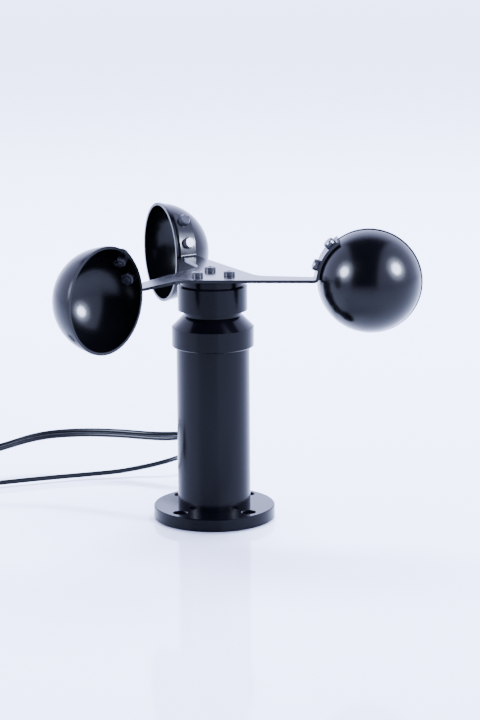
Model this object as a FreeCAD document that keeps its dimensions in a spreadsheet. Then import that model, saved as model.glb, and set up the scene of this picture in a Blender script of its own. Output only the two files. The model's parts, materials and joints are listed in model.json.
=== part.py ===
"""Three-cup anemometer: a cup rotor on a small ball-bearing head above a flanged tube.

Frame: millimetres, +Z up along the rotor axis, origin at the centre of the flange underside,
+X through the centre of the first cup at rest.
"""
import FreeCAD
import Part
import Sketcher
import math
import os

# ---------------------------------------------------------------- driving sizes
SIZES = {
    # base flange
    "flange_radius": 30.4, "flange_thick": 6.5, "flange_chamfer": 0.5, "seat_rise": 0.9,
    "bolt_circle_radius": 24.0, "bolt_hole_radius": 3.3, "bolt_hole_chamfer": 0.45, "bolt_count": 4,
    "bolt_turn": 54.6,
    # cover in the flange underside
    "cover_radius": 14.2, "cover_thick": 1.6, "cover_inset": 1.4, "gasket_thick": 0.6,
    "flange_bore": 10.0, "cover_screw_circle": 12.2, "cover_screw_reach": 4.6,
    # body tube and its plug-in joints
    "tube_radius": 18.2, "tube_wall": 3.2, "tube_length": 80.3, "slip_gap": 0.2,
    "spigot_length": 7.0, "seal_inset": 2.0, "seal_width": 1.6, "seal_depth": 1.2,
    # bearing collar
    "collar_radius": 20.4, "collar_height": 9.75, "collar_chamfer": 0.4,
    "neck_radius": 14.4, "neck_height": 6.6, "head_depth": 13.6,
    # ball bearings, 5 x 16 x 5
    "shaft_radius": 2.5, "bearing_radius": 8.0, "bearing_width": 5.0, "inner_land": 4.1,
    "outer_land": 6.4, "ball_radius": 1.5875, "ball_circle": 5.25, "ball_clearance": 0.08,
    "ball_count": 7, "cage_wall": 1.0, "cage_height": 2.0, "bearing_recess": 0.6,
    "lower_bearing_drop": 4.0, "circlip_thick": 1.0, "circlip_grip": 0.6, "circlip_span": 1.5,
    "shaft_clip_thick": 0.8, "shaft_clip_grip": 0.4, "shaft_clip_radius": 4.0,
    # rotor hub
    "hub_gap": 2.55, "hub_radius": 17.25, "hub_height": 12.7, "hub_chamfer": 0.8,
    "skirt_clearance": 0.7, "hub_ceiling_gap": 1.2, "shim_radius": 3.6, "shim_thick": 0.6,
    "boss_radius": 16.0, "boss_height": 3.4, "bolt_pocket_radius": 4.5, "bolt_pocket_depth": 3.0,
    "shaft_inset": 0.5, "shaft_end": 64.0,
    # spider plate
    "plate_thick": 1.5, "web_reach": 22.5, "web_side": 1.8, "web_round": 10.0,
    "tab_half_width": 4.6, "tab_bend": 1.0, "tab_rise": 54.0, "tab_turn": 13.8, "tab_gap": 0.05,
    # cups
    "cup_radius": 25.5, "cup_wall": 1.0, "bead_rise": 0.35, "bead_width": 1.3,
    "cup_reach": 78.0, "cup_count": 3, "lower_screw_rise": 18.0, "screw_spread": 27.0,
    # fasteners
    "hub_screw_circle": 9.1, "pan_head_radius": 2.85, "pan_head_height": 2.1,
    "pan_head_chamfer": 0.5, "thread_radius": 1.5, "hole_play": 0.1, "hub_screw_length": 8.0,
    "recess_width": 0.9, "recess_length": 3.4, "recess_depth": 1.1,
    "cup_head_height": 2.3, "nut_circumradius": 3.1, "nut_height": 2.3, "screw_tail": 0.6,
    "small_thread_radius": 1.0, "small_head_radius": 1.8, "small_head_height": 1.2,
    "hub_bolt_length": 9.0, "bolt_washer_radius": 4.0, "bolt_washer_thick": 0.5,
    # sensor
    "carrier_radius": 8.5, "carrier_height": 8.0, "carrier_floor": 2.0, "magnet_radius": 2.0,
    "magnet_height": 3.0, "magnet_circle": 5.9, "magnet_count": 4, "grub_drop": 2.2,
    "board_radius": 14.4, "board_thick": 1.6, "sensor_gap": 1.0, "sensor_height": 3.0,
    "sensor_width": 4.0, "sensor_depth": 1.6, "pillar_radius": 2.0, "pillar_circle": 11.8,
    "pillar_count": 3, "board_screw_reach": 7.0, "header_width": 12.0, "header_depth": 6.4,
    "header_height": 8.0, "chip_width": 7.0, "chip_height": 1.6, "can_radius": 2.0,
    "can_height": 5.0, "part_offset": 7.5,
    # cable gland
    "gland_height": 37.6, "gland_turn": 110.0, "gland_seat": 16.0, "gland_seat_radius": 7.6,
    "gland_thread_radius": 4.0, "gland_hex_radius": 6.9, "gland_hex_height": 3.5,
    "gland_washer_radius": 6.3, "gland_washer_thick": 0.8, "gland_stem_radius": 4.8,
    "gland_stem_length": 6.7, "gland_tail": 7.0, "gland_nut_thick": 2.5, "gland_nut_start": 10.7,
    "gland_seal_radius": 3.2, "gland_seal_length": 5.0, "gland_cap_radius": 6.2,
    "gland_cap_gap": 0.7, "gland_cap_crown": 4.0, "gland_cap_chamfer": 1.5,
    # cable
    "cable_radius": 1.25, "lead_bend": 6.0, "lead_rise": 7.4, "core_radius": 0.45,
    "core_spacing": 2.4, "core_reach": 4.6,
    "coil_turn_radius": 13.75, "coil_rows": 3, "coil_layers": 4, "coil_x": -151.3,
    "coil_y": 6.9, "tie_thick": 0.8, "tie_width": 4.0, "tie_play": 0.3,
    "sleeve_radius": 1.7, "sleeve_length": 12.0, "bare_length": 7.0,
}

# Sizes that follow from the driving ones, each worked out once.
DERIVED = {
    "tube_bottom": "flange_thick + seat_rise",
    "tube_top": "tube_bottom + tube_length",
    "tube_bore": "tube_radius - tube_wall",
    "spigot_radius": "tube_bore - slip_gap",
    "groove_radius": "tube_bore - seal_depth",
    "spigot_top": "tube_bottom + spigot_length",
    "lower_seal_bottom": "tube_bottom + seal_inset",
    "lower_seal_top": "lower_seal_bottom + seal_width",
    "upper_seal_top": "tube_top - seal_inset",
    "upper_seal_bottom": "upper_seal_top - seal_width",
    "cover_top": "cover_inset + cover_thick",
    "gasket_top": "cover_top + gasket_thick",
    "cover_recess": "cover_radius + slip_gap",
    "cover_head_bottom": "cover_inset - small_head_height",
    "cover_screw_top": "cover_inset + cover_screw_reach",
    "collar_top": "tube_top + collar_height",
    "neck_start": "collar_top + collar_radius - neck_radius",
    "neck_top": "neck_start + neck_height",
    "head_bottom": "tube_top - head_depth",
    "upper_bearing_top": "neck_top - bearing_recess",
    "upper_bearing_bottom": "upper_bearing_top - bearing_width",
    "upper_bearing_mid": "upper_bearing_top - bearing_width / 2",
    "lower_bearing_top": "tube_top - lower_bearing_drop",
    "lower_bearing_bottom": "lower_bearing_top - bearing_width",
    "lower_bearing_mid": "lower_bearing_top - bearing_width / 2",
    "race_bore": "bearing_radius - circlip_span",
    "circlip_bottom": "lower_bearing_bottom - circlip_thick",
    "circlip_radius": "bearing_radius + circlip_grip",
    "circlip_bore": "bearing_radius - circlip_span",
    "shaft_clip_bottom": "lower_bearing_bottom - shaft_clip_thick",
    "shaft_groove": "shaft_radius - shaft_clip_grip",
    "spacer_radius": "inner_land - 0.3",
    "groove_ball_radius": "ball_radius + ball_clearance",
    "cage_inner": "ball_circle - cage_wall / 2",
    "cage_outer": "ball_circle + cage_wall / 2",
    "hub_bottom": "neck_start + hub_gap",
    "hub_top": "hub_bottom + hub_height",
    "skirt_radius": "neck_radius + skirt_clearance",
    "hub_ceiling": "neck_top + hub_ceiling_gap",
    "shim_top": "upper_bearing_top + shim_thick",
    "plate_bottom": "hub_top + boss_height",
    "plate_top": "plate_bottom + plate_thick",
    "pocket_floor": "plate_bottom - bolt_pocket_depth",
    "shaft_top": "pocket_floor - shaft_inset",
    "bolt_seat": "pocket_floor + bolt_washer_thick",
    "shaft_hole_bottom": "bolt_seat - hub_bolt_length",
    "hub_screw_end": "plate_top - hub_screw_length",
    "head_top": "plate_top + pan_head_height",
    "hub_bolt_top": "bolt_seat + pan_head_height",
    "carrier_bottom": "shaft_end - carrier_floor",
    "carrier_top": "carrier_bottom + carrier_height",
    "grub_height": "carrier_top - grub_drop",
    "board_top": "carrier_bottom - sensor_gap - sensor_height",
    "board_bottom": "board_top - board_thick",
    "board_head_bottom": "board_bottom - small_head_height",
    "board_screw_top": "board_bottom + board_screw_reach",
    "header_bottom": "board_bottom - header_height",
    "strap_inner": "cup_radius + tab_gap",
    "strap_outer": "strap_inner + plate_thick",
    "cup_bore": "cup_radius - cup_wall",
    "nut_outer": "cup_bore - 0.25",
    "nut_inner": "nut_outer - nut_height",
    "screw_end": "nut_inner - screw_tail",
    "cup_head_end": "strap_outer + cup_head_height",
    "gland_hex_start": "gland_seat + gland_washer_thick",
    "gland_stem_start": "gland_hex_start + gland_hex_height",
    "gland_stem_end": "gland_stem_start + gland_stem_length",
    "gland_seal_start": "gland_stem_end - gland_seal_length",
    "gland_cap_start": "gland_stem_start + gland_cap_gap",
    "gland_cap_end": "gland_stem_end + gland_cap_crown",
    "cable_bore": "cable_radius + 0.25",
    "coil_half_width": "cable_radius * coil_rows",
    "coil_inner": "coil_turn_radius - coil_half_width",
    "coil_outer": "coil_turn_radius + coil_half_width",
    "coil_bottom": "tie_thick",
    "coil_top": "coil_bottom + 2 * cable_radius * coil_layers",
    "tie_top": "coil_top + tie_thick",
}

# Route of the free cable from the gland to the coil: out of the gland, away to the side, back
# along itself, down in a small loop behind the tube and out again along the ground.
CABLE_ROUTE = (
    (-10.6, 29.1, 37.6), (-14.8, 41.0, 37.4), (-21.0, 54.0, 33.5), (-30.5, 61.5, 27.0),
    (-43.0, 64.5, 23.0), (-65.3, 71.0, 22.0), (-87.0, 74.8, 20.7), (-107.8, 72.2, 19.0),
    (-125.7, 57.3, 15.6), (-140.5, 45.5, 13.0), (-153.5, 38.5, 10.5), (-165.5, 42.5, 8.5),
    (-169.5, 54.0, 8.0), (-162.0, 64.0, 8.8), (-149.6, 63.0, 11.0), (-137.8, 59.3, 13.8),
    (-126.2, 60.2, 16.4), (-108.3, 75.1, 19.8), (-87.5, 77.7, 21.5), (-65.8, 73.9, 22.8),
    (-43.5, 67.4, 23.8), (-30.5, 70.0, 24.3), (-18.0, 73.0, 24.0), (-6.5, 77.5, 22.5),
    (0.5, 86.0, 19.5), (-3.5, 96.5, 16.0), (-14.5, 98.5, 12.8), (-24.0, 89.0, 10.4),
    (-34.2, 76.5, 8.4), (-44.3, 72.3, 6.1), (-54.2, 69.8, 4.2), (-63.9, 65.4, 3.1),
    (-83.5, 58.2, 2.5), (-102.7, 48.3, 2.5), (-122.7, 37.2, 2.4), (-138.6, 27.8, 2.2),
    (-154.0, 22.9, 2.05),
)

# The short end of the cable, from the top of the coil down to the ground.
TAIL_ROUTE = (
    (-167.3, 4.2, 9.55), (-166.4, -6.7, 7.6), (-162.5, -17.3, 3.8), (-154.2, -24.0, 1.9),
    (-143.7, -26.3, 1.7),
)

document = FreeCAD.newDocument("cup_anemometer")
nodes = []


# ---------------------------------------------------------------- document helpers
def fill_sheet():
    sheet = document.addObject("Spreadsheet::Sheet", "Sizes")
    for row, (alias, number) in enumerate(SIZES.items(), start=1):
        sheet.set("A%d" % row, alias)
        sheet.set("B%d" % row, str(number))
        sheet.setAlias("B%d" % row, alias)
    document.recompute()
    return sheet


def words_to_cells(expression, derived_prefix="Levels."):
    """Put the owner's name before each size word of an expression."""
    pieces = []
    for piece in expression.replace("(", " ( ").replace(")", " ) ").split():
        if piece in SIZES:
            piece = "Sizes." + piece
        elif piece in DERIVED:
            piece = derived_prefix + piece
        pieces.append(piece)
    return " ".join(pieces)


def fill_levels():
    levels = document.addObject("App::FeaturePython", "Levels")
    for name, expression in DERIVED.items():
        levels.addProperty("App::PropertyFloat", name, "Levels")
        levels.setExpression(name, words_to_cells(expression, ""))
    document.recompute()
    return levels


sizes_sheet = fill_sheet()
levels_object = fill_levels()


def size(word):
    """The number that a size word stands for."""
    if word in SIZES:
        return float(sizes_sheet.get(word))
    return float(getattr(levels_object, word))


def bind(item, prop, expression):
    item.setExpression(prop, words_to_cells(expression))


def keep(item):
    """Mark an object of the document as a sub-part to be written."""
    nodes.append(item)
    return item


def new_body(label):
    body = document.addObject("PartDesign::Body", label)
    body.Label = label
    body.AllowCompound = True
    return body


def origin_feature(body, role):
    for feature in body.Origin.OriginFeatures:
        if feature.Role == role:
            return feature
    raise RuntimeError("no origin feature " + role)


def outline_sketch(body, outline, shift=None, upward=None):
    """Closed polygon on the XZ plane; each corner is (radius, height) in size words.

    The heights run along +Z, or along the unit vector `upward`.
    """
    sketch = body.newObject("Sketcher::SketchObject", body.Name + "_outline")
    sketch.AttachmentSupport = [(origin_feature(body, "XZ_Plane"), "")]
    sketch.MapMode = "FlatFace"
    if upward:
        in_plane = FreeCAD.Vector(upward.x, upward.z, -upward.y)
        sketch.AttachmentOffset = FreeCAD.Placement(
            FreeCAD.Vector(), FreeCAD.Rotation(FreeCAD.Vector(0, 1, 0), in_plane))
    if shift:
        bind(sketch, ".AttachmentOffset.Base.x", shift)
    count = len(outline)
    ring = [FreeCAD.Vector(20 + 9 * math.cos(2 * math.pi * i / count),
                           20 + 9 * math.sin(2 * math.pi * i / count), 0) for i in range(count)]
    for i in range(count):
        sketch.addGeometry(Part.LineSegment(ring[i], ring[(i + 1) % count]), False)
    for i in range(count):
        sketch.addConstraint(Sketcher.Constraint("Coincident", i, 2, (i + 1) % count, 1))
    for i, corner in enumerate(outline):
        for kind, axis, word in (("DistanceX", -2, corner[0]), ("DistanceY", -1, corner[1])):
            if word == "0":
                sketch.addConstraint(Sketcher.Constraint("PointOnObject", i, 1, axis))
                continue
            start = ring[i].x if kind == "DistanceX" else ring[i].y
            index = sketch.addConstraint(Sketcher.Constraint(kind, -1, 1, i, 1, start))
            name = "%s_%d" % (kind, i)
            sketch.renameConstraint(index, name)
            bind(sketch, "Constraints." + name, word)
    return sketch


def turn_outline(body, outline, shift=None, upward=None):
    sketch = outline_sketch(body, outline, shift, upward)
    turn = body.newObject("PartDesign::Revolution", body.Name + "_turn")
    turn.Profile = sketch
    turn.ReferenceAxis = (sketch, ["V_Axis"])
    turn.Angle = 360
    return turn


def turned(label, outline):
    """A sub-part turned about Z."""
    body = keep(new_body(label))
    turn_outline(body, outline)
    return body


def ring_part(label, inner, outer, bottom, top):
    return turned(label, ((inner, bottom), (outer, bottom), (outer, top), (inner, top)))


def primitive(body, kind, place=None, turn=None, **bounds):
    """A PartDesign primitive with its sizes and place bound to size words."""
    feature = body.newObject("PartDesign::" + kind, body.Name + "_" + kind)
    if turn:
        feature.Placement = FreeCAD.Placement(FreeCAD.Vector(), turn)
    for prop, expression in bounds.items():
        bind(feature, prop, expression)
    for axis, expression in zip("xyz", place or ()):
        if expression != "0":
            bind(feature, ".Placement.Base." + axis, expression)
    return feature


def around(body, features, count, axis="Z_Axis", angle="360"):
    pattern = body.newObject("PartDesign::PolarPattern", body.Name + "_around")
    pattern.Originals = features
    pattern.Axis = (origin_feature(body, axis), [""])
    bind(pattern, "Angle", angle)
    bind(pattern, "Occurrences", count)
    body.Tip = pattern
    return pattern


def along_radius(turn_word, height_word, offset=0.0):
    """Placement that points local +Z outwards at an azimuth, local +Y up."""
    angle = math.radians(size(turn_word))
    outward = FreeCAD.Vector(math.cos(angle), math.sin(angle), 0)
    up = FreeCAD.Vector(0, 0, 1)
    side = up.cross(outward)
    matrix = FreeCAD.Matrix(side.x, up.x, outward.x, offset * outward.x,
                            side.y, up.y, outward.y, offset * outward.y,
                            side.z, up.z, outward.z, size(height_word), 0, 0, 0, 1)
    return FreeCAD.Placement(matrix)


def about_axis(degrees):
    return FreeCAD.Placement(FreeCAD.Vector(),
                             FreeCAD.Rotation(FreeCAD.Vector(0, 0, 1), degrees))


# ---------------------------------------------------------------- base and tube
def base_flange():
    body = keep(new_body("base_flange"))
    body.Placement = about_axis(size("bolt_turn"))
    turn_outline(body, (
        ("cover_recess", "0"), ("flange_radius - flange_chamfer", "0"),
        ("flange_radius", "flange_chamfer"), ("flange_radius", "flange_thick - flange_chamfer"),
        ("flange_radius - flange_chamfer", "flange_thick"), ("tube_radius", "flange_thick"),
        ("tube_radius", "tube_bottom"), ("spigot_radius", "tube_bottom"),
        ("spigot_radius", "lower_seal_bottom"), ("groove_radius", "lower_seal_bottom"),
        ("groove_radius", "lower_seal_top"), ("spigot_radius", "lower_seal_top"),
        ("spigot_radius", "spigot_top"), ("flange_bore", "spigot_top"),
        ("flange_bore", "gasket_top"), ("cover_recess", "gasket_top")))
    hole = primitive(body, "SubtractiveCylinder", ("bolt_circle_radius", "0", "0"),
                     Radius="bolt_hole_radius", Height="flange_thick")
    rim = primitive(body, "SubtractiveCone",
                    ("bolt_circle_radius", "0", "flange_thick - bolt_hole_chamfer"),
                    Radius1="bolt_hole_radius", Radius2="bolt_hole_radius + bolt_hole_chamfer",
                    Height="bolt_hole_chamfer")
    around(body, [hole, rim], "bolt_count")
    screw_hole = primitive(body, "SubtractiveCylinder", ("cover_screw_circle", "0", "gasket_top"),
                           Radius="small_thread_radius", Height="cover_screw_top - gasket_top")
    around(body, [screw_hole], "pillar_count")


def base_cover():
    body = turned("base_cover", (("0", "cover_inset"), ("cover_radius", "cover_inset"),
                                 ("cover_radius", "cover_top"), ("0", "cover_top")))
    body.Placement = about_axis(size("bolt_turn"))
    drill_ring(body, "cover_screw_circle", "small_thread_radius + hole_play", "cover_inset",
               "cover_thick", "pillar_count")
    gasket = ring_part("cover_gasket", "flange_bore", "cover_radius", "cover_top", "gasket_top")
    gasket.Placement = about_axis(size("bolt_turn"))
    drill_ring(gasket, "cover_screw_circle", "small_thread_radius + hole_play", "cover_top",
               "gasket_thick", "pillar_count")


def drill_ring(body, circle, radius, bottom, height, count):
    hole = primitive(body, "SubtractiveCylinder", (circle, "0", bottom), Radius=radius,
                     Height=height)
    around(body, [hole], count)


def screw_ring(label, circle, outline, count, degrees=0.0):
    """Identical screws standing on a circle; the outline is one screw's own section."""
    body = keep(new_body(label))
    body.Placement = about_axis(degrees)
    features = [turn_outline(body, outline, circle)]
    around(body, features, count)
    return body


def small_screws():
    screw_ring("cover_screws", "cover_screw_circle", (
        ("0", "cover_head_bottom"), ("small_head_radius", "cover_head_bottom"),
        ("small_head_radius", "cover_inset"), ("small_thread_radius", "cover_inset"),
        ("small_thread_radius", "cover_screw_top"), ("0", "cover_screw_top")),
        "pillar_count", size("bolt_turn"))
    screw_ring("board_screws", "pillar_circle", (
        ("0", "board_head_bottom"), ("small_head_radius", "board_head_bottom"),
        ("small_head_radius", "board_bottom"), ("small_thread_radius", "board_bottom"),
        ("small_thread_radius", "board_screw_top"), ("0", "board_screw_top")), "pillar_count")


def body_tube():
    body = ring_part("body_tube", "tube_bore", "tube_radius", "tube_bottom", "tube_top")
    outward = FreeCAD.Rotation(FreeCAD.Vector(0, 0, 1), FreeCAD.Vector(1, 0, 0))
    body.Placement = about_axis(size("gland_turn"))
    primitive(body, "SubtractiveCylinder", ("flange_bore", "0", "gland_height"), outward,
              Radius="gland_thread_radius", Height="tube_radius")
    primitive(body, "SubtractiveCylinder", ("gland_seat", "0", "gland_height"), outward,
              Radius="gland_seat_radius", Height="tube_radius")
    ring_part("tube_seal_lower", "groove_radius", "tube_bore", "lower_seal_bottom",
              "lower_seal_top")
    ring_part("tube_seal_upper", "groove_radius", "tube_bore", "upper_seal_bottom",
              "upper_seal_top")


# ---------------------------------------------------------------- bearing head
def bearing_collar():
    turned("bearing_collar", (
        ("bearing_radius", "head_bottom"), ("spigot_radius", "head_bottom"),
        ("spigot_radius", "upper_seal_bottom"), ("groove_radius", "upper_seal_bottom"),
        ("groove_radius", "upper_seal_top"), ("spigot_radius", "upper_seal_top"),
        ("spigot_radius", "tube_top"), ("collar_radius - collar_chamfer", "tube_top"),
        ("collar_radius", "tube_top + collar_chamfer"), ("collar_radius", "collar_top"),
        ("neck_radius", "neck_start"), ("neck_radius", "neck_top"),
        ("bearing_radius", "neck_top"), ("bearing_radius", "upper_bearing_bottom"),
        ("race_bore", "upper_bearing_bottom"), ("race_bore", "lower_bearing_top"),
        ("bearing_radius", "lower_bearing_top"), ("bearing_radius", "lower_bearing_bottom"),
        ("circlip_radius", "lower_bearing_bottom"), ("circlip_radius", "circlip_bottom"),
        ("bearing_radius", "circlip_bottom")))


def cut_race(body, middle):
    quarter = FreeCAD.Rotation(FreeCAD.Vector(0, 0, 1), 90)
    primitive(body, "SubtractiveTorus", ("0", "0", middle), quarter, Radius1="ball_circle",
              Radius2="groove_ball_radius")


def bearing(place):
    """One ball bearing: two races, a set of balls and their cage."""
    bottom = place + "_bearing_bottom"
    top = place + "_bearing_top"
    middle = place + "_bearing_mid"
    cut_race(ring_part("bearing_outer_" + place, "outer_land", "bearing_radius", bottom, top),
             middle)
    cut_race(ring_part("bearing_inner_" + place, "shaft_radius", "inner_land", bottom, top),
             middle)
    balls = keep(new_body("balls_" + place))
    ball = primitive(balls, "AdditiveSphere", ("ball_circle", "0", middle), Radius="ball_radius")
    around(balls, [ball], "ball_count")
    cage = ring_part("cage_" + place, "cage_inner", "cage_outer", middle + " - cage_height / 2",
                     middle + " + cage_height / 2")
    pocket = primitive(cage, "SubtractiveSphere", ("ball_circle", "0", middle),
                       Radius="ball_radius + ball_clearance / 2")
    around(cage, [pocket], "ball_count")


def clip_ring(label, inner, outer, bottom, top, height):
    """A split retaining ring, open for a sixth of a turn."""
    body = ring_part(label, inner, outer, bottom, top)
    primitive(body, "SubtractiveBox", ("0", "0 - " + outer + " / 3", bottom), Length=outer + " * 2",
              Width=outer + " * 2 / 3", Height=height)


def retaining_rings():
    clip_ring("housing_circlip", "circlip_bore", "circlip_radius", "circlip_bottom",
              "lower_bearing_bottom", "circlip_thick")
    clip_ring("shaft_circlip", "shaft_groove", "shaft_clip_radius", "shaft_clip_bottom",
              "lower_bearing_bottom", "shaft_clip_thick")


# ---------------------------------------------------------------- shaft and hub
def rotor_shaft():
    turned("rotor_shaft", (
        ("0", "shaft_end"), ("shaft_radius", "shaft_end"), ("shaft_radius", "shaft_clip_bottom"),
        ("shaft_groove", "shaft_clip_bottom"), ("shaft_groove", "lower_bearing_bottom"),
        ("shaft_radius", "lower_bearing_bottom"), ("shaft_radius", "shaft_top"),
        ("thread_radius", "shaft_top"), ("thread_radius", "shaft_hole_bottom"),
        ("0", "shaft_hole_bottom")))
    ring_part("inner_spacer", "shaft_radius", "spacer_radius", "lower_bearing_top",
              "upper_bearing_bottom")
    ring_part("hub_washer", "shaft_radius", "shim_radius", "upper_bearing_top", "shim_top")


def hub():
    body = turned("hub", (
        ("shaft_radius", "shim_top"), ("shim_radius", "shim_top"),
        ("shim_radius", "hub_ceiling"), ("skirt_radius", "hub_ceiling"),
        ("skirt_radius", "hub_bottom"), ("hub_radius", "hub_bottom"),
        ("hub_radius", "hub_top - hub_chamfer"), ("hub_radius - hub_chamfer", "hub_top"),
        ("boss_radius", "hub_top"), ("boss_radius", "plate_bottom"),
        ("bolt_pocket_radius", "plate_bottom"), ("bolt_pocket_radius", "pocket_floor"),
        ("shaft_radius", "pocket_floor")))
    drill_ring(body, "hub_screw_circle", "thread_radius", "hub_screw_end",
               "plate_bottom - hub_screw_end", "cup_count")
    body.Placement = about_axis(0 - size("tab_turn"))
    turned("hub_bolt", (
        ("0", "shaft_hole_bottom"), ("thread_radius", "shaft_hole_bottom"),
        ("thread_radius", "pocket_floor"), ("bolt_washer_radius", "pocket_floor"),
        ("bolt_washer_radius", "bolt_seat"), ("pan_head_radius", "bolt_seat"),
        ("pan_head_radius", "hub_bolt_top"), ("0", "hub_bolt_top")))


def hub_screws():
    body = keep(new_body("hub_screws"))
    body.Placement = about_axis(0 - size("tab_turn"))
    screw = turn_outline(body, (
        ("0", "hub_screw_end"), ("thread_radius", "hub_screw_end"),
        ("thread_radius", "plate_top"), ("pan_head_radius", "plate_top"),
        ("pan_head_radius", "head_top - pan_head_chamfer"),
        ("pan_head_radius - pan_head_chamfer", "head_top"), ("0", "head_top")),
        "hub_screw_circle")
    around(body, [screw], "cup_count")
    slots = []
    for long_side, wide_side in (("recess_length", "recess_width"),
                                 ("recess_width", "recess_length")):
        slots.append(primitive(
            body, "SubtractiveBox",
            ("hub_screw_circle - %s / 2" % long_side, "0 - %s / 2" % wide_side,
             "head_top - recess_depth"),
            Length=long_side, Width=wide_side, Height="recess_depth"))
    around(body, slots, "cup_count")


# ---------------------------------------------------------------- spider plate
def tab_direction():
    """Unit vectors of the first tab: from the cup centre to the hub, and across the tab."""
    angle = math.radians(180 + size("tab_turn"))
    inward = FreeCAD.Vector(math.cos(angle), math.sin(angle), 0)
    across = FreeCAD.Vector(-math.sin(angle), math.cos(angle), 0)
    return inward, across


def tab_foot():
    """Distance from the cup centre where the fold of a tab meets the flat plate."""
    bend = size("tab_bend")
    return math.sqrt((size("strap_outer") + bend) ** 2 - (size("plate_thick") + bend) ** 2)


def turned_vector(vector, degrees):
    return FreeCAD.Rotation(FreeCAD.Vector(0, 0, 1), degrees).multVec(vector)


def rounded_corner(before, corner, after, radius):
    """Tangent arc in a corner: its start, middle and end."""
    back = (before - corner).normalize()
    ahead = (after - corner).normalize()
    half = back.getAngle(ahead) / 2
    reach = radius / math.tan(half)
    middle_line = (back + ahead).normalize()
    centre = corner + middle_line * (radius / math.sin(half))
    return corner + back * reach, centre - middle_line * radius, corner + ahead * reach


def web_face():
    """Outline of the flat plate: three arms, each with one long straight side."""
    inward, across = tab_direction()
    cup_centre = FreeCAD.Vector(size("cup_reach"), 0, 0)
    half = across * size("tab_half_width")
    foot = cup_centre + inward * tab_foot()
    end = cup_centre + inward * size("strap_inner")
    arm_end = (foot + half, end + half, end - half, foot - half)
    root = FreeCAD.Vector(size("web_reach"), -size("web_side"), 0)
    step = 360.0 / size("cup_count")
    arms = int(size("cup_count"))
    corners = []
    for arm in range(arms):
        outline = [turned_vector(point, arm * step) for point in arm_end]
        next_tip = turned_vector(arm_end[0], (arm + 1) * step)
        rounding = rounded_corner(outline[-1], turned_vector(root, arm * step), next_tip,
                                  size("web_round"))
        corners.append((outline, rounding))
    edges = []
    for arm, (outline, rounding) in enumerate(corners):
        edges += [Part.LineSegment(first, second).toShape()
                  for first, second in zip(outline, outline[1:] + [rounding[0]])]
        edges.append(Part.Arc(*rounding).toShape())
        next_outline = corners[(arm + 1) % arms][0]
        edges.append(Part.LineSegment(rounding[2], next_outline[0]).toShape())
    return Part.Face(Part.Wire(edges))


def fold_centre():
    """Axis of a tab's fold, seen along the fold, in the tab's own frame."""
    return FreeCAD.Vector(tab_foot(), 0, size("plate_thick") + size("tab_bend"))


def arc_edge(centre, start, end):
    """Short arc about a centre from one point to another."""
    middle = ((start - centre) + (end - centre)).normalize() * (start - centre).Length
    return Part.Arc(start, centre + middle, end).toShape()


def across_tab(edges, half_width):
    strip = Part.Face(Part.Wire(edges)).extrude(FreeCAD.Vector(0, 2 * half_width, 0))
    strip.translate(FreeCAD.Vector(0, -half_width, 0))
    return strip


def fold_fillet():
    """Material inside the fold, from the plate's top to the tab's outer face."""
    centre = fold_centre()
    thick = size("plate_thick")
    top = FreeCAD.Vector(tab_foot(), 0, thick)
    upper = FreeCAD.Vector(centre).normalize() * size("strap_outer")
    buried = FreeCAD.Vector(size("strap_inner") + thick / 2, 0, thick)
    raised = FreeCAD.Vector(buried.x, 0, upper.z)
    edges = [arc_edge(centre, upper, top), Part.LineSegment(top, buried).toShape(),
             Part.LineSegment(buried, raised).toShape(),
             Part.LineSegment(raised, upper).toShape()]
    return across_tab(edges, size("tab_half_width"))


def fold_relief():
    """Material outside the fold's outer radius, to be cut away."""
    centre = fold_centre()
    bottom = FreeCAD.Vector(tab_foot(), 0, 0)
    upper = FreeCAD.Vector(centre).normalize() * size("strap_inner")
    below = FreeCAD.Vector(bottom.x, 0, -1)
    behind = FreeCAD.Vector(size("cup_bore"), 0, -1)
    above = FreeCAD.Vector(size("cup_bore"), 0, upper.z)
    edges = [arc_edge(centre, bottom, upper), Part.LineSegment(upper, above).toShape(),
             Part.LineSegment(above, behind).toShape(), Part.LineSegment(behind, below).toShape(),
             Part.LineSegment(below, bottom).toShape()]
    return across_tab(edges, 2 * size("tab_half_width"))


def tab_band():
    """The curved strip: a flat section turned about the cup's own axis."""
    tilt = math.radians(size("tab_turn"))
    out = FreeCAD.Vector(math.cos(tilt), math.sin(tilt), 0)
    side = FreeCAD.Vector(-math.sin(tilt), math.cos(tilt), 0) * size("tab_half_width")
    inner = out * size("strap_inner")
    outer = out * size("strap_outer")
    section = Part.makePolygon([inner - side, outer - side, outer + side, inner + side,
                                inner - side])
    band = Part.Face(section).revolve(FreeCAD.Vector(), FreeCAD.Vector(0, -1, 0),
                                      size("tab_rise"))
    band.rotate(FreeCAD.Vector(), FreeCAD.Vector(0, 0, 1), -size("tab_turn"))
    return band


def screw_direction(rise):
    """Unit vector of a cup screw in the cup's frame: X to the hub, Y up, Z out of the mouth."""
    tilt = math.radians(size("tab_turn"))
    angle = math.radians(rise)
    return FreeCAD.Vector(math.cos(tilt) * math.cos(angle), math.cos(tilt) * math.sin(angle),
                          -math.sin(tilt))


def screw_rises():
    lower = size("lower_screw_rise")
    return lower, lower + size("screw_spread")


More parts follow.
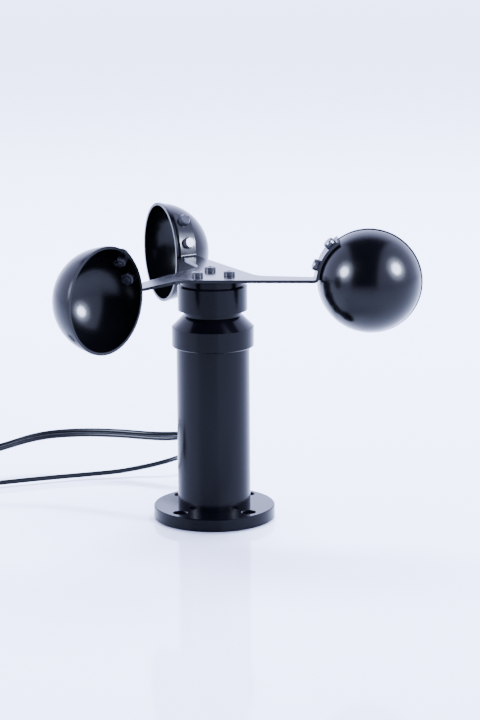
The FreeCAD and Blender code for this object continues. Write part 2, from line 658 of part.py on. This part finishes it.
def spider_plate():
    """Flat web with a folded tab at each arm's end, one bent sheet."""
    web = web_face().extrude(FreeCAD.Vector(0, 0, size("plate_thick")))
    tab = tab_band().fuse(fold_fillet())
    tab.rotate(FreeCAD.Vector(), FreeCAD.Vector(0, 0, 1), 180 + size("tab_turn"))
    relief = fold_relief()
    relief.rotate(FreeCAD.Vector(), FreeCAD.Vector(0, 0, 1), 180 + size("tab_turn"))
    hole_radius = size("thread_radius") + size("hole_play")
    for rise in screw_rises():
        local = screw_direction(rise)
        pointing = FreeCAD.Vector(-local.x, local.z, local.y)
        drill = Part.makeCylinder(hole_radius, size("strap_outer") + 2, FreeCAD.Vector(), pointing)
        relief = relief.fuse(drill)
    step = 360.0 / size("cup_count")
    cup_centre = FreeCAD.Vector(size("cup_reach"), 0, 0)
    upright = FreeCAD.Vector(0, 0, 1)
    tabs = []
    cuts = []
    for arm in range(int(size("cup_count"))):
        for shape, copies in ((tab, tabs), (relief, cuts)):
            copy = shape.copy()
            copy.translate(cup_centre)
            copy.rotate(FreeCAD.Vector(), upright, arm * step)
            copies.append(copy)
        place = turned_vector(FreeCAD.Vector(size("hub_screw_circle"), 0, 0),
                              arm * step - size("tab_turn"))
        cuts.append(Part.makeCylinder(hole_radius, size("plate_thick"), place))
    sheet = web.fuse(tabs).cut(cuts).removeSplitter()
    feature = keep(document.addObject("Part::Feature", "spider_plate"))
    feature.Shape = sheet
    feature.Placement = FreeCAD.Placement(FreeCAD.Vector(0, 0, size("plate_bottom")),
                                          FreeCAD.Rotation())


# ---------------------------------------------------------------- cups
def cup_frame(index):
    """Placement of a cup: local Z out of its mouth, local X to the hub, local Y up."""
    matrix = FreeCAD.Matrix(-1, 0, 0, size("cup_reach"), 0, 0, 1, 0,
                            0, 1, 0, size("plate_bottom"), 0, 0, 0, 1)
    turn = about_axis(index * 360.0 / size("cup_count"))
    return turn.multiply(FreeCAD.Placement(matrix))


def cup(index):
    body = keep(new_body("cup_%d" % (index + 1)))
    body.Placement = cup_frame(index)
    upright = FreeCAD.Rotation(FreeCAD.Vector(1, 0, 0), -90)
    dome = primitive(body, "AdditiveSphere", None, upright, Radius="cup_radius")
    dome.Angle3 = 180
    primitive(body, "AdditiveCylinder", ("0", "0", "0 - bead_width"),
              Radius="cup_radius + bead_rise", Height="bead_width")
    primitive(body, "SubtractiveSphere", None, upright, Radius="cup_bore")
    pointing = FreeCAD.Rotation(FreeCAD.Vector(0, 0, 1), screw_direction(screw_rises()[0]))
    hole = primitive(body, "SubtractiveCylinder", None, pointing,
                     Radius="thread_radius + hole_play / 2", Height="cup_radius * 2")
    around(body, [hole], "2", "Z_Axis", "screw_spread")


def cup_fasteners(index):
    """Two screws with their nuts, both set in the cup's own frame."""
    outward = screw_direction(screw_rises()[0])
    screws = keep(new_body("cup_screws_%d" % (index + 1)))
    screws.Placement = cup_frame(index)
    turn = turn_outline(screws, (
        ("0", "screw_end"), ("thread_radius", "screw_end"), ("thread_radius", "strap_outer"),
        ("pan_head_radius", "strap_outer"), ("pan_head_radius", "cup_head_end - pan_head_chamfer"),
        ("pan_head_radius - pan_head_chamfer", "cup_head_end"), ("0", "cup_head_end")),
        None, outward)
    around(screws, [turn], "2", "Z_Axis", "screw_spread")
    nuts = keep(new_body("cup_nuts_%d" % (index + 1)))
    nuts.Placement = cup_frame(index)
    seat = FreeCAD.Placement(outward * size("nut_inner"),
                             FreeCAD.Rotation(FreeCAD.Vector(0, 0, 1), outward))
    nut = primitive(nuts, "AdditivePrism", Circumradius="nut_circumradius", Height="nut_height")
    thread = primitive(nuts, "SubtractiveCylinder", Radius="thread_radius", Height="nut_height")
    nut.Placement = seat
    thread.Placement = seat
    around(nuts, [nut, thread], "2", "Z_Axis", "screw_spread")


# ---------------------------------------------------------------- speed sensor
def magnet_carrier():
    body = turned("magnet_carrier", (
        ("0", "carrier_bottom"), ("carrier_radius", "carrier_bottom"),
        ("carrier_radius", "carrier_top"), ("shaft_radius", "carrier_top"),
        ("shaft_radius", "shaft_end"), ("0", "shaft_end")))
    drill_ring(body, "magnet_circle", "magnet_radius", "carrier_bottom", "magnet_height",
               "magnet_count")
    sideways = FreeCAD.Rotation(FreeCAD.Vector(0, 0, 1), FreeCAD.Vector(1, 0, 0))
    primitive(body, "SubtractiveCylinder", ("0", "0", "grub_height"), sideways,
              Radius="thread_radius", Height="carrier_radius * 2")
    magnets = keep(new_body("magnets"))
    magnet = primitive(magnets, "AdditiveCylinder", ("magnet_circle", "0", "carrier_bottom"),
                       Radius="magnet_radius", Height="magnet_height")
    around(magnets, [magnet], "magnet_count")
    grub = keep(new_body("grub_screw"))
    primitive(grub, "AdditiveCylinder", ("shaft_radius", "0", "grub_height"), sideways,
              Radius="thread_radius", Height="carrier_radius - shaft_radius - 1")


def sensor_board():
    board = turned("sensor_board", (("0", "board_bottom"), ("board_radius", "board_bottom"),
                                    ("board_radius", "board_top"), ("0", "board_top")))
    drill_ring(board, "pillar_circle", "small_thread_radius + hole_play", "board_bottom",
               "board_thick", "pillar_count")
    pillars = keep(new_body("board_pillars"))
    pillar = primitive(pillars, "AdditiveCylinder", ("pillar_circle", "0", "board_top"),
                       Radius="pillar_radius", Height="head_bottom - board_top")
    hole = primitive(pillars, "SubtractiveCylinder", ("pillar_circle", "0", "board_top"),
                     Radius="small_thread_radius", Height="board_screw_top - board_top")
    around(pillars, [pillar, hole], "pillar_count")
    sensor = keep(new_body("hall_sensor"))
    primitive(sensor, "AdditiveBox", ("0 - sensor_width / 2", "magnet_circle - sensor_depth / 2",
                                      "board_top"),
              Length="sensor_width", Width="sensor_depth", Height="sensor_height")


def board_parts():
    chip = keep(new_body("board_components"))
    primitive(chip, "AdditiveBox", ("0 - chip_width / 2", "part_offset - chip_width / 2",
                                    "board_bottom - chip_height"),
              Length="chip_width", Width="chip_width * 0.7", Height="chip_height")
    primitive(chip, "AdditiveCylinder", ("part_offset", "part_offset / 2",
                                         "board_bottom - can_height"),
              Radius="can_radius", Height="can_height")
    primitive(chip, "AdditiveCylinder", ("0 - part_offset", "part_offset / 2",
                                         "board_bottom - can_height * 0.8"),
              Radius="can_radius", Height="can_height * 0.8")
    header = keep(new_body("terminal_header"))
    header.Placement = about_axis(size("gland_turn") - 90)
    primitive(header, "AdditiveBox", ("0 - header_width / 2", "0 - header_depth / 2 - 2",
                                      "header_bottom"),
              Length="header_width", Width="header_depth", Height="header_height")
    for slot in (-1, 0, 1):
        primitive(header, "SubtractiveCylinder",
                  ("core_spacing * %d" % slot, "0 - 2", "header_bottom"),
                  Radius="core_radius", Height="core_reach")


# ---------------------------------------------------------------- cable gland
def gland_part(label, outline):
    body = turned(label, outline)
    body.Placement = along_radius("gland_turn", "gland_height")
    return body


def gland():
    gland_part("gland_washer", (
        ("gland_thread_radius", "gland_seat"), ("gland_washer_radius", "gland_seat"),
        ("gland_washer_radius", "gland_hex_start"), ("gland_thread_radius", "gland_hex_start")))
    body = gland_part("gland_body", (
        ("cable_bore", "gland_tail"), ("gland_thread_radius", "gland_tail"),
        ("gland_thread_radius", "gland_hex_start"), ("gland_stem_radius", "gland_hex_start"),
        ("gland_stem_radius", "gland_stem_end"), ("gland_seal_radius", "gland_stem_end"),
        ("gland_seal_radius", "gland_seal_start"), ("cable_bore", "gland_seal_start")))
    primitive(body, "AdditivePrism", ("0", "0", "gland_hex_start"),
              Circumradius="gland_hex_radius", Height="gland_hex_height")
    primitive(body, "SubtractiveCylinder", ("0", "0", "gland_hex_start"), Radius="cable_bore",
              Height="gland_hex_height")
    gland_part("gland_seal", (
        ("cable_radius", "gland_seal_start"), ("gland_seal_radius", "gland_seal_start"),
        ("gland_seal_radius", "gland_stem_end"), ("cable_radius", "gland_stem_end")))
    gland_part("gland_cap", (
        ("gland_stem_radius", "gland_cap_start"), ("gland_cap_radius", "gland_cap_start"),
        ("gland_cap_radius", "gland_cap_end - gland_cap_chamfer"),
        ("gland_cap_radius - gland_cap_chamfer", "gland_cap_end"),
        ("cable_radius", "gland_cap_end"), ("cable_radius", "gland_stem_end"),
        ("gland_stem_radius", "gland_stem_end")))
    nut = keep(new_body("gland_locknut"))
    nut.Placement = along_radius("gland_turn", "gland_height")
    primitive(nut, "AdditivePrism", ("0", "0", "gland_nut_start"),
              Circumradius="gland_hex_radius", Height="gland_nut_thick")
    primitive(nut, "SubtractiveCylinder", ("0", "0", "gland_nut_start"),
              Radius="gland_thread_radius", Height="gland_nut_thick")


# ---------------------------------------------------------------- cable
def tangent_path(points, chosen_radius=None):
    """Straight runs joined by tangent arcs; returns the wire and the arcs' radii."""
    edges = []
    radii = []
    start = points[0]
    for before, corner, after in zip(points, points[1:], points[2:]):
        half_turn = (math.pi - (before - corner).getAngle(after - corner)) / 2
        shorter = min((before - corner).Length, (after - corner).Length)
        radius = chosen_radius or 0.45 * shorter / math.tan(half_turn)
        arc_start, middle, arc_end = rounded_corner(before, corner, after, radius)
        edges.append(Part.LineSegment(start, arc_start).toShape())
        edges.append(Part.Arc(arc_start, middle, arc_end).toShape())
        radii.append(radius)
        start = arc_end
    edges.append(Part.LineSegment(start, points[-1]).toShape())
    return Part.Wire(edges), radii


def cable_solid(label, points, chosen_radius=None):
    wire, radii = tangent_path(points, chosen_radius)
    radius = size("cable_radius")
    section = Part.Wire(Part.makeCircle(radius, points[0], points[1] - points[0]))
    solid = wire.makePipeShell([section], True, True)
    feature = keep(document.addObject("Part::Feature", label))
    feature.Shape = solid
    expected = math.pi * radius ** 2 * wire.Length
    print("%s: length %.1f mm, volume over section times length %.5f" % (
        label, wire.Length, solid.Volume / expected))
    if radii:
        print("  bend radii:", ", ".join("%.1f" % value for value in radii))
        print("  tightest bend %.1f mm" % min(radii))


def vectors(points):
    return [FreeCAD.Vector(*point) for point in points]


def gland_point(distance, height):
    """A point above or on the gland's axis, at a distance from the rotor axis."""
    angle = math.radians(size("gland_turn"))
    return FreeCAD.Vector(distance * math.cos(angle), distance * math.sin(angle), height)


def inner_lead():
    level = size("gland_height")
    top = level + size("lead_rise")
    cable_solid("inner_lead", [gland_point(size("gland_cap_end"), level), gland_point(-2, level),
                               gland_point(-2, top)], size("lead_bend"))
    cores = keep(new_body("lead_cores"))
    cores.Placement = about_axis(size("gland_turn") - 90)
    spread = size("core_spacing")
    for slot in (-1, 0, 1):
        foot = FreeCAD.Vector(slot * 0.8, -2, top + 0.15)
        head = FreeCAD.Vector(slot * spread, -2, size("header_bottom") - 0.15)
        core = cores.newObject("PartDesign::AdditiveCylinder", "core")
        core.Placement = FreeCAD.Placement(foot, FreeCAD.Rotation(FreeCAD.Vector(0, 0, 1),
                                                                  head - foot))
        core.Height = (head - foot).Length
        bind(core, "Radius", "core_radius")


def cable_coil():
    coil = turned("cable_coil", (
        ("coil_inner", "coil_bottom"), ("coil_outer", "coil_bottom"), ("coil_outer", "coil_top"),
        ("coil_inner", "coil_top")))
    centre = FreeCAD.Vector(size("coil_x"), size("coil_y"), 0)
    coil.Placement = FreeCAD.Placement(centre, FreeCAD.Rotation())
    tie = keep(new_body("coil_tie"))
    tie.Placement = FreeCAD.Placement(centre, FreeCAD.Rotation(FreeCAD.Vector(0, 0, 1), -60))
    primitive(tie, "AdditiveBox", ("coil_inner - tie_play - tie_thick", "0 - tie_width / 2", "0"),
              Length="coil_outer - coil_inner + 2 * tie_play + 2 * tie_thick",
              Width="tie_width", Height="tie_top")
    primitive(tie, "SubtractiveBox", ("coil_inner - tie_play", "0 - tie_width / 2", "coil_bottom"),
              Length="coil_outer - coil_inner + 2 * tie_play", Width="tie_width",
              Height="coil_top - coil_bottom")


def cable_end():
    """Sleeve and bare cores on the free end, in line with its last run."""
    last = FreeCAD.Vector(*TAIL_ROUTE[-1])
    heading = FreeCAD.Vector(last.x - TAIL_ROUTE[-2][0], last.y - TAIL_ROUTE[-2][1], 0)
    pointing = FreeCAD.Rotation(FreeCAD.Vector(0, 0, 1), heading)
    sleeve = keep(new_body("cable_sleeve"))
    sleeve.Placement = FreeCAD.Placement(last, pointing)
    primitive(sleeve, "AdditiveCylinder", Radius="sleeve_radius", Height="sleeve_length")
    cores = keep(new_body("cable_cores"))
    cores.Placement = FreeCAD.Placement(last, pointing)
    for slot in (-1, 0, 1):
        fan = FreeCAD.Rotation(FreeCAD.Vector(0, 1, 0), 0)
        if slot:
            fan = FreeCAD.Rotation(FreeCAD.Vector(1, 0, 0), 8 * slot)
        core = cores.newObject("PartDesign::AdditiveCylinder", "core")
        core.Placement = FreeCAD.Placement(
            FreeCAD.Vector(0, -1.05 * slot, size("sleeve_length")), fan)
        bind(core, "Radius", "core_radius")
        bind(core, "Height", "bare_length")


# ---------------------------------------------------------------- whole model
def build():
    base_flange()
    base_cover()
    small_screws()
    body_tube()
    bearing_collar()
    bearing("upper")
    bearing("lower")
    retaining_rings()
    rotor_shaft()
    hub()
    hub_screws()
    spider_plate()
    for index in range(int(size("cup_count"))):
        cup(index)
        cup_fasteners(index)
    magnet_carrier()
    sensor_board()
    board_parts()
    gland()
    inner_lead()
    cable_solid("cable_run", vectors(CABLE_ROUTE))
    cable_solid("cable_tail", vectors(TAIL_ROUTE))
    cable_coil()
    cable_end()
    document.recompute()


def check_and_write():
    for item in document.Objects:
        if "Invalid" in item.State or "Error" in item.State:
            raise RuntimeError("%s did not rebuild: %s" % (item.Name, item.State))
    for item in nodes:
        if item.Shape.isNull() or not item.Shape.isValid() or not item.Shape.Solids:
            raise RuntimeError(item.Label + " has no valid solid")
    os.makedirs("parts", exist_ok=True)
    for item in nodes:
        item.Shape.exportStep("parts/%s.step" % item.Label)
    print("wrote %d sub-parts" % len(nodes))


build()
check_and_write()
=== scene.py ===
import bpy
import json
import math
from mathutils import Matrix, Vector


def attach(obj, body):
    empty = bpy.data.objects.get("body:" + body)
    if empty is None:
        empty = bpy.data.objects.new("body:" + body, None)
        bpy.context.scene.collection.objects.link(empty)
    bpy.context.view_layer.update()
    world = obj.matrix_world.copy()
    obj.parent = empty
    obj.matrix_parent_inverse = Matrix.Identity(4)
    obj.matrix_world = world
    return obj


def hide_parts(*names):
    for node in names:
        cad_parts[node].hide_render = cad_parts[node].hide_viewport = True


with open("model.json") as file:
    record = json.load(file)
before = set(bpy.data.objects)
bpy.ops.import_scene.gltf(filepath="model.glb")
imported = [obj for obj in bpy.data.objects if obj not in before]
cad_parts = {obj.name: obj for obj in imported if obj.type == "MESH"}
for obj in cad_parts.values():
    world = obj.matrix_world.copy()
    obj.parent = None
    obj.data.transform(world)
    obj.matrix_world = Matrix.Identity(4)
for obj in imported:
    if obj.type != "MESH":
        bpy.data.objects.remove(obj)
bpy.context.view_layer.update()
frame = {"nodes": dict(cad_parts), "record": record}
nodes = frame["nodes"]

MM = 0.001

# Noise scales and shares used by all finishes.
BLOTCH_SCALE = 90.0
ROUGHNESS_SPREAD = 0.15
COAT_ROUGHNESS = 0.05
RING_SCALE = 5200.0
RING_DEPTH = 0.00002
RING_BLOTCH_SCALE = 60.0
RING_ROUGHNESS_SPREAD = 0.05
NOISE_LOW, NOISE_HIGH = 0.3, 0.7


# ------------------------------------------------------------------ materials
def new_material(name):
    material = bpy.data.materials.new(name)
    material.use_nodes = True
    shader = material.node_tree.nodes["Principled BSDF"]
    return material, material.node_tree, shader


def link(tree, source, target):
    tree.links.new(source, target)


def add(tree, kind, **values):
    node = tree.nodes.new(kind)
    for key, value in values.items():
        setattr(node, key, value)
    return node


def noise(tree, scale):
    """Noise in object space, so the pattern rides with the piece."""
    place = add(tree, "ShaderNodeTexCoord")
    texture = add(tree, "ShaderNodeTexNoise")
    texture.inputs["Scale"].default_value = scale
    texture.inputs["Detail"].default_value = 3.0
    link(tree, place.outputs["Object"], texture.inputs["Vector"])
    return texture.outputs["Fac"]


def spread(tree, fac, low, high):
    """Maps the usual span of the noise to a range."""
    node = add(tree, "ShaderNodeMapRange")
    node.inputs["From Min"].default_value = NOISE_LOW
    node.inputs["From Max"].default_value = NOISE_HIGH
    node.inputs["To Min"].default_value = low
    node.inputs["To Max"].default_value = high
    link(tree, fac, node.inputs["Value"])
    return node.outputs["Result"]


def bump(tree, shader, height, strength, distance):
    node = add(tree, "ShaderNodeBump")
    node.inputs["Strength"].default_value = strength
    node.inputs["Distance"].default_value = distance
    link(tree, height, node.inputs["Height"])
    link(tree, node.outputs["Normal"], shader.inputs["Normal"])


def surface(name, colour, rough, metallic=0.0, grain=None, coat=0.0, specular=0.5):
    """A finish of uneven roughness; grain is (scale, bump strength, bump distance)."""
    material, tree, shader = new_material(name)
    shader.inputs["Base Color"].default_value = (*colour, 1)
    shader.inputs["Metallic"].default_value = metallic
    shader.inputs["Roughness"].default_value = rough
    shader.inputs["Specular IOR Level"].default_value = specular
    shader.inputs["Coat Weight"].default_value = coat
    shader.inputs["Coat Roughness"].default_value = COAT_ROUGHNESS
    blotches = noise(tree, BLOTCH_SCALE)
    link(tree, spread(tree, blotches, rough * (1 - ROUGHNESS_SPREAD),
                      rough * (1 + ROUGHNESS_SPREAD)), shader.inputs["Roughness"])
    if grain:
        scale, strength, distance = grain
        bump(tree, shader, noise(tree, scale), strength, distance)
    return material


def turned_metal(name, colour, rough, specular, strength):
    """Fine rings left by a lathe: noise that depends on height and radius only."""
    material, tree, shader = new_material(name)
    shader.inputs["Base Color"].default_value = (*colour, 1)
    shader.inputs["Specular IOR Level"].default_value = specular
    place = add(tree, "ShaderNodeTexCoord")
    split = add(tree, "ShaderNodeSeparateXYZ")
    link(tree, place.outputs["Object"], split.inputs["Vector"])
    flat = add(tree, "ShaderNodeCombineXYZ")
    link(tree, split.outputs["X"], flat.inputs["X"])
    link(tree, split.outputs["Y"], flat.inputs["Y"])
    length = add(tree, "ShaderNodeVectorMath", operation="LENGTH")
    link(tree, flat.outputs["Vector"], length.inputs[0])
    rings = add(tree, "ShaderNodeCombineXYZ")
    link(tree, length.outputs["Value"], rings.inputs["X"])
    link(tree, split.outputs["Z"], rings.inputs["Z"])
    texture = add(tree, "ShaderNodeTexNoise")
    texture.inputs["Scale"].default_value = RING_SCALE
    texture.inputs["Detail"].default_value = 2.0
    link(tree, rings.outputs["Vector"], texture.inputs["Vector"])
    bump(tree, shader, texture.outputs["Fac"], strength, RING_DEPTH)
    blotches = noise(tree, RING_BLOTCH_SCALE)
    link(tree, spread(tree, blotches, rough * (1 - RING_ROUGHNESS_SPREAD),
                      rough * (1 + RING_ROUGHNESS_SPREAD)), shader.inputs["Roughness"])
    return material


LOOKS = {
    "black_anodised": turned_metal("black_anodised", (0.0004, 0.0004, 0.0007),
                                   rough=0.18, specular=0.08, strength=0.02),
    "black_paint": surface("black_paint", (0.0015, 0.0015, 0.002), 0.17, specular=0.15,
                           grain=(700.0, 0.03, 0.00005)),
    "gloss_black": surface("gloss_black", (0.0004, 0.0004, 0.0006), 0.19, specular=0.13,
                           grain=(260.0, 0.05, 0.0001)),
    "black_steel": surface("black_steel", (0.012, 0.012, 0.015), 0.25, metallic=0.3,
                           specular=0.3),
    "plain_steel": surface("plain_steel", (0.55, 0.55, 0.56), 0.3, metallic=1.0,
                           grain=(900.0, 0.1, 0.00005)),
    "bearing_steel": surface("bearing_steel", (0.6, 0.6, 0.62), 0.12, metallic=1.0),
    "brass": surface("brass", (0.72, 0.53, 0.24), 0.28, metallic=1.0),
    "rubber": surface("rubber", (0.018, 0.018, 0.019), 0.75),
    "black_plastic": surface("black_plastic", (0.018, 0.018, 0.02), 0.42,
                             grain=(1500.0, 0.15, 0.00005)),
    "circuit_board": surface("circuit_board", (0.01, 0.13, 0.045), 0.35, coat=0.3),
    "green_plastic": surface("green_plastic", (0.03, 0.26, 0.08), 0.4),
    "cable_jacket": surface("cable_jacket", (0.0015, 0.0017, 0.0022), 0.36, specular=0.1,
                            grain=(1200.0, 0.1, 0.00005)),
    "core_wire": surface("core_wire", (0.30, 0.03, 0.02), 0.4),
}


def wear(piece, slot):
    piece.data.materials.clear()
    piece.data.materials.append(LOOKS[slot])


for part in frame["record"]["subparts"]:
    wear(nodes[part["node"]], part["material_slot"])


# ------------------------------------------------------------------ cable
CABLE_DIAMETER = 2.5
CABLE_ROUTE = (
    (-10.6, 29.1, 37.6), (-14.8, 41.0, 37.4), (-21.0, 54.0, 28.5), (-30.5, 61.5, 23.5),
    (-43.0, 64.5, 22.5), (-65.3, 71.0, 22.0), (-87.0, 74.8, 20.7), (-107.8, 72.2, 19.0),
    (-125.7, 57.3, 15.6), (-140.5, 45.5, 13.0), (-153.5, 38.5, 10.5), (-165.5, 42.5, 8.5),
    (-169.5, 54.0, 8.0), (-162.0, 64.0, 8.8), (-149.6, 63.0, 11.0), (-137.8, 59.3, 13.8),
    (-126.2, 60.2, 16.4), (-108.3, 75.1, 20.4), (-87.5, 77.7, 22.2), (-65.8, 73.9, 23.5),
    (-43.5, 67.4, 24.0), (-30.5, 70.0, 23.9), (-18.0, 73.0, 24.0), (-6.5, 77.5, 22.5),
    (0.5, 86.0, 19.5), (-3.5, 96.5, 16.0), (-14.5, 98.5, 12.8), (-24.0, 89.0, 10.4),
    (-34.2, 76.5, 8.4), (-44.3, 72.3, 6.1), (-54.2, 69.8, 4.2), (-63.9, 65.4, 3.1),
    (-83.5, 58.2, 2.5), (-102.7, 48.3, 2.5), (-122.7, 37.2, 2.4), (-138.6, 27.8, 2.2),
)
TAIL_ROUTE = (
    (-166.4, -6.7, 7.6), (-162.5, -17.3, 3.8), (-154.2, -24.0, 1.9), (-143.7, -26.3, 1.7),
)
COIL_CENTRE = (-151.3, 6.9)
COIL_START_ANGLE = 99.6
COIL_TURNS = 11.25
# Each change of lane or layer in the coil: (turn it starts at, radius after it, height after it).
COIL_STEPS = (
    (0.0, 16.25, 2.05), (0.85, 13.75, 2.05), (1.85, 11.25, 2.05), (2.65, 11.25, 4.55),
    (3.85, 13.75, 4.55), (4.85, 16.25, 4.55), (5.65, 16.25, 7.05), (6.85, 13.75, 7.05),
    (7.85, 11.25, 7.05), (8.65, 11.25, 9.55), (9.85, 13.75, 9.55), (10.85, 16.25, 9.55),
)
STEP_WIDTH = 0.15
POINTS_PER_TURN = 24


def smooth(t):
    t = min(max(t, 0.0), 1.0)
    return t * t * (3 - 2 * t)


def coil_point(turn):
    _, radius, height = COIL_STEPS[0]
    for start, next_radius, next_height in COIL_STEPS[1:]:
        if turn > start:
            share = smooth((turn - start) / STEP_WIDTH)
            radius += (next_radius - radius) * share
            height += (next_height - height) * share
    angle = math.radians(COIL_START_ANGLE) + 2 * math.pi * turn
    return (COIL_CENTRE[0] + radius * math.cos(angle),
            COIL_CENTRE[1] + radius * math.sin(angle), height)


def cable_points():
    points = list(CABLE_ROUTE)
    for step in range(int(COIL_TURNS * POINTS_PER_TURN) + 1):
        points.append(coil_point(step / POINTS_PER_TURN))
    points.extend(TAIL_ROUTE)
    return points


curve = bpy.data.curves.new("signal_cable", "CURVE")
curve.dimensions = "3D"
curve.bevel_depth = CABLE_DIAMETER / 2 * MM
curve.bevel_resolution = 6
curve.use_fill_caps = True
spline = curve.splines.new("NURBS")
points = cable_points()
spline.points.add(len(points) - 1)
for target, point in zip(spline.points, points):
    target.co = (*(MM * v for v in point), 1)
spline.order_u = 3
spline.use_endpoint_u = True
spline.resolution_u = 6
cable = bpy.data.objects.new("signal_cable", curve)
bpy.context.scene.collection.objects.link(cable)
wear(cable, "cable_jacket")
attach(cable, "housing")
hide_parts("cable_run", "cable_coil", "cable_tail")


# ------------------------------------------------------------------ camera
# Where the camera stands round the rotor axis, and how it is turned, pitched and rolled there.
HEADING = math.radians(9.6)
YAW = math.radians(0.65)
PITCH = math.radians(12.40)
ROLL = math.radians(-0.39)
DISTANCE = 1.1767
HEIGHT = 0.3388
LENS = 121.3
SENSOR = 36.0
CLIP_NEAR, CLIP_FAR = 0.05, 20.0


def look(name, place, facing):
    data = bpy.data.cameras.new(name)
    data.lens = LENS
    data.sensor_width = SENSOR
    data.sensor_fit = "AUTO"
    data.clip_start = CLIP_NEAR
    data.clip_end = CLIP_FAR
    camera = bpy.data.objects.new(name, data)
    camera.location = place
    camera.rotation_euler = facing.to_track_quat("-Z", "Y").to_euler()
    camera.rotation_euler.rotate_axis("Z", ROLL)
    bpy.context.scene.collection.objects.link(camera)
    bpy.context.scene.camera = camera


camera_place = Vector((DISTANCE * math.sin(HEADING), -DISTANCE * math.cos(HEADING), HEIGHT))
bearing = HEADING - YAW
forward = Vector((-math.sin(bearing) * math.cos(PITCH), math.cos(bearing) * math.cos(PITCH),
                  -math.sin(PITCH)))
look("camera", camera_place, forward)


# ------------------------------------------------------------------ floor and light
FLOOR_SIZE = 30.0
FLOOR_COLOUR = (0.81, 0.83, 0.91, 1)
FLOOR_ROUGHNESS = 0.07
FLOOR_SPECULAR = 0.3

# Where each wall begins and where it is full, as a share of the direction's X or Y.
BACK_WALL = (0.30, 0.75)
RIGHT_WALL = (0.30, 0.46)
LEFT_WALL = (-0.50, -0.66)
SIDE_LEVEL = 0.8
WALL_DARK = (0.003, 0.003, 0.005, 1)
WALL_PALE = (0.57, 0.62, 1.0, 1)
WORLD_STRENGTH = 8.0

LAMP_COLOUR = (0.66, 0.74, 1.0)
REAR_LAMP = {"place": (0.0, 0.9, 1.5), "aim": (0, -0.1, 0), "size": (1.6, 0.8), "power": 230}
# Each side lamp is a small bright core in front of a wide dim halo.
SIDE_LAMPS = (("left", (-0.90, -0.636, 0.57), 45), ("right", (1.069, -0.292, 0.626), 60))
SIDE_AIM = (0, 0, 0.1)
CORE_SIZE, CORE_SHARE = 0.42, 2.6
HALO_SIZE, HALO_SHARE = 0.95, 0.6
HALO_SETBACK = 1.03


def floor_material():
    material, _, shader = new_material("floor")
    shader.inputs["Base Color"].default_value = FLOOR_COLOUR
    shader.inputs["Roughness"].default_value = FLOOR_ROUGHNESS
    shader.inputs["Specular IOR Level"].default_value = FLOOR_SPECULAR
    return material


def plain_floor():
    bpy.ops.mesh.primitive_plane_add(size=FLOOR_SIZE, location=(0, 0, 0))
    floor = bpy.context.object
    floor.name = "floor"
    floor.data.materials.append(floor_material())
    return floor


def skip_floor(lamps, floor):
    """Keeps these lamps off the floor, which would mirror them as bright discs from behind."""
    skipped = bpy.data.collections.new("skipped_by_lamps")
    skipped.objects.link(floor)
    skipped.collection_objects[0].light_linking.link_state = "EXCLUDE"
    for lamp in lamps:
        lamp.light_linking.receiver_collection = skipped


def soft_box(name, place, aim, size, power):
    data = bpy.data.lights.new(name, "AREA")
    data.shape = "ELLIPSE"
    data.size, data.size_y = size
    data.energy = power
    data.color = LAMP_COLOUR
    lamp = bpy.data.objects.new(name, data)
    lamp.location = place
    lamp.rotation_euler = (Vector(aim) - Vector(place)).to_track_quat("-Z", "Y").to_euler()
    bpy.context.scene.collection.objects.link(lamp)
    return lamp


def rise(tree, value, start, end):
    """0 below start, 1 above end, smooth between; start may be the larger one."""
    node = add(tree, "ShaderNodeMapRange", interpolation_type="SMOOTHSTEP")
    node.inputs["From Min"].default_value = start
    node.inputs["From Max"].default_value = end
    link(tree, value, node.inputs["Value"])
    return node.outputs["Result"]


def larger(tree, one, other):
    node = add(tree, "ShaderNodeMath", operation="MAXIMUM")
    link(tree, one, node.inputs[0])
    link(tree, other, node.inputs[1])
    return node.outputs["Value"]


def studio_world():
    """Pale walls behind and on both sides, dark in front and overhead."""
    world = bpy.data.worlds.new("studio")
    world.use_nodes = True
    tree = world.node_tree
    background = tree.nodes["Background"]
    place = add(tree, "ShaderNodeTexCoord")
    split = add(tree, "ShaderNodeSeparateXYZ")
    link(tree, place.outputs["Generated"], split.inputs["Vector"])
    back = rise(tree, split.outputs["Y"], *BACK_WALL)
    right = rise(tree, split.outputs["X"], *RIGHT_WALL)
    left = rise(tree, split.outputs["X"], *LEFT_WALL)
    ramp = add(tree, "ShaderNodeValToRGB")
    stops = ramp.color_ramp.elements
    stops[0].color = WALL_DARK
    stops[1].color = WALL_PALE
    sides = add(tree, "ShaderNodeMath", operation="MULTIPLY")
    link(tree, larger(tree, right, left), sides.inputs[0])
    sides.inputs[1].default_value = SIDE_LEVEL
    link(tree, larger(tree, back, sides.outputs["Value"]), ramp.inputs["Fac"])
    link(tree, ramp.outputs["Color"], background.inputs["Color"])
    background.inputs["Strength"].default_value = WORLD_STRENGTH
    bpy.context.scene.world = world


floor = plain_floor()
studio_world()
rear = soft_box("rear", **REAR_LAMP)
rear.visible_glossy = False
side_lamps = []
for name, place, power in SIDE_LAMPS:
    behind = Vector(place) * HALO_SETBACK
    side_lamps.append(soft_box(name + "_core", place, SIDE_AIM, (CORE_SIZE, CORE_SIZE),
                               power * CORE_SHARE))
    side_lamps.append(soft_box(name + "_halo", behind, SIDE_AIM, (HALO_SIZE, HALO_SIZE),
                               power * HALO_SHARE))
skip_floor(side_lamps, floor)
